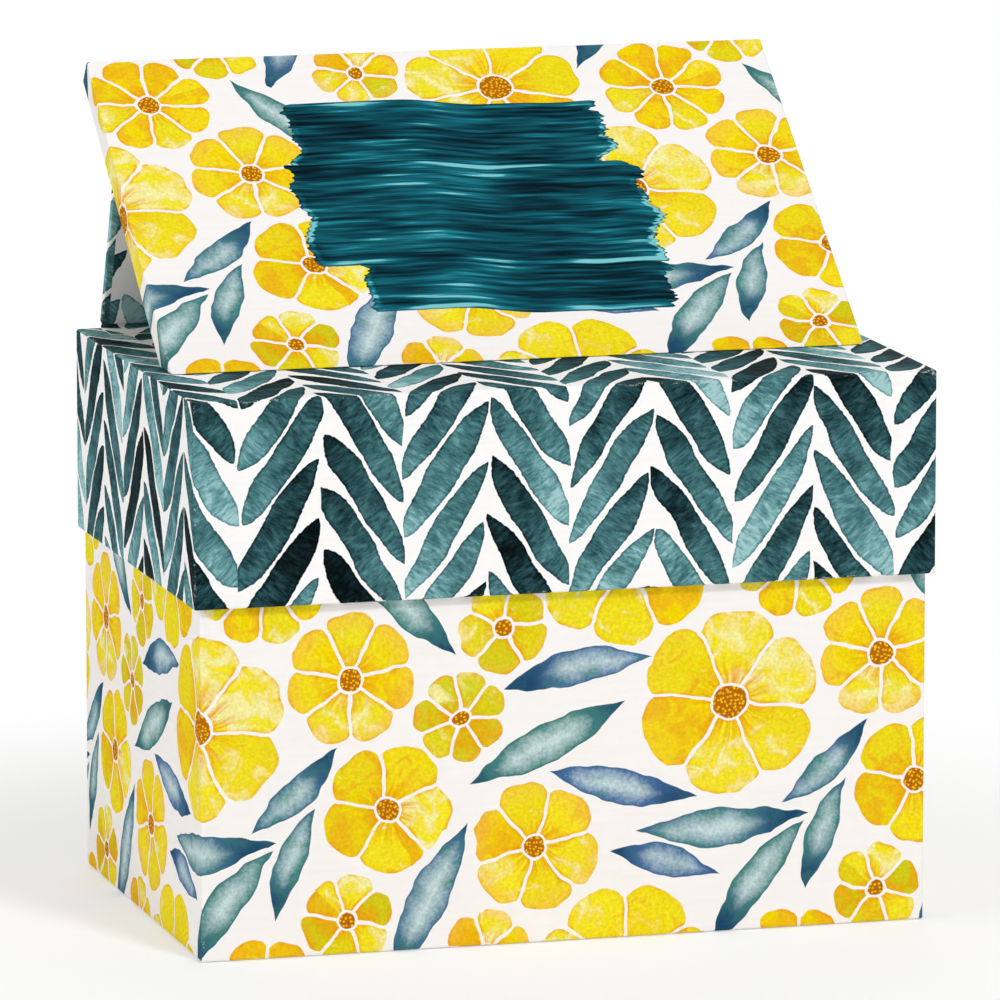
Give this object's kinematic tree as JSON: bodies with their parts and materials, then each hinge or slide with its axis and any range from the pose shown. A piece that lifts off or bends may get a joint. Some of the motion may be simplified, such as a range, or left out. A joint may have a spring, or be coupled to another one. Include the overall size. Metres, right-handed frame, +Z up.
{
  "type": "recipe box",
  "caption": "Paper-covered board box for recipe cards, with a deep hinged lid that carries a fold-up easel panel to stand a card against.",
  "frame": {"origin": "centre of the box's footprint, on the surface it stands on", "axes": "+X to the right, +Y to the back where the lid hinges, +Z up; the front faces -Y. Stored with the lid shut and the stand raised"},
  "size_m": [0.1722, 0.1231, 0.1876],
  "materials": {
    "greyboard": "raw grey chipboard",
    "floral_paper": "matt printed paper with a light linen grain",
    "teal_paper": "matt printed paper with a light linen grain",
    "lining_paper": "uncoated white paper",
    "gummed_tape": "kraft tape",
    "magnet": "nickel-plated bar magnet"
  },
  "bodies": {
    "box": {"front_wall_board": "greyboard", "back_wall_board": "greyboard", "left_wall_board": "greyboard", "right_wall_board": "greyboard", "base_board": "greyboard", "body_wrap": "floral_paper", "body_corner_tapes": "gummed_tape", "base_sheet": "lining_paper", "wall_lining": "lining_paper", "floor_lining": "lining_paper", "hinge_strip_lower": "teal_paper"},
    "lid": {"lid_top_board": "greyboard", "lid_front_board": "greyboard", "lid_left_board": "greyboard", "lid_right_board": "greyboard", "lid_wrap": "teal_paper", "lid_corner_tapes": "gummed_tape", "lid_skirt_lining": "lining_paper", "lid_top_lining": "lining_paper", "hinge_strip_upper": "teal_paper", "lid_magnets": "magnet", "prop_hinge_leaf": "teal_paper"},
    "prop": {"prop_board": "greyboard", "prop_backing": "teal_paper", "prop_cover": "teal_paper"},
    "panel": {"panel_front_ply": "greyboard", "panel_back_ply": "greyboard", "panel_cover": "floral_paper", "panel_back_lining": "lining_paper", "panel_fold_leaf": "teal_paper", "foot_magnets": "magnet"}
  },
  "joints": [
    {"name": "lid_hinge", "type": "hinge", "parent": "box", "child": "lid", "pos_m": [0, 0.0555, 0.12465], "axis": [-1, 0, 0], "range_deg": [0, 160]},
    {"name": "prop_fold", "type": "hinge", "parent": "lid", "child": "prop", "pos_m": [0, 0.0535, 0.1271], "axis": [1, 0, 0], "range_deg": [0, 69]},
    {"name": "panel_fold", "type": "hinge", "parent": "prop", "child": "panel", "pos_m": [0, 0.04144, 0.16339], "axis": [-1, 0, 0], "range_deg": [0, 106.2]}
  ],
  "couplings": [
    {"joint": "panel_fold", "follows": "prop_fold", "ratio": 1.5391}
  ]
}
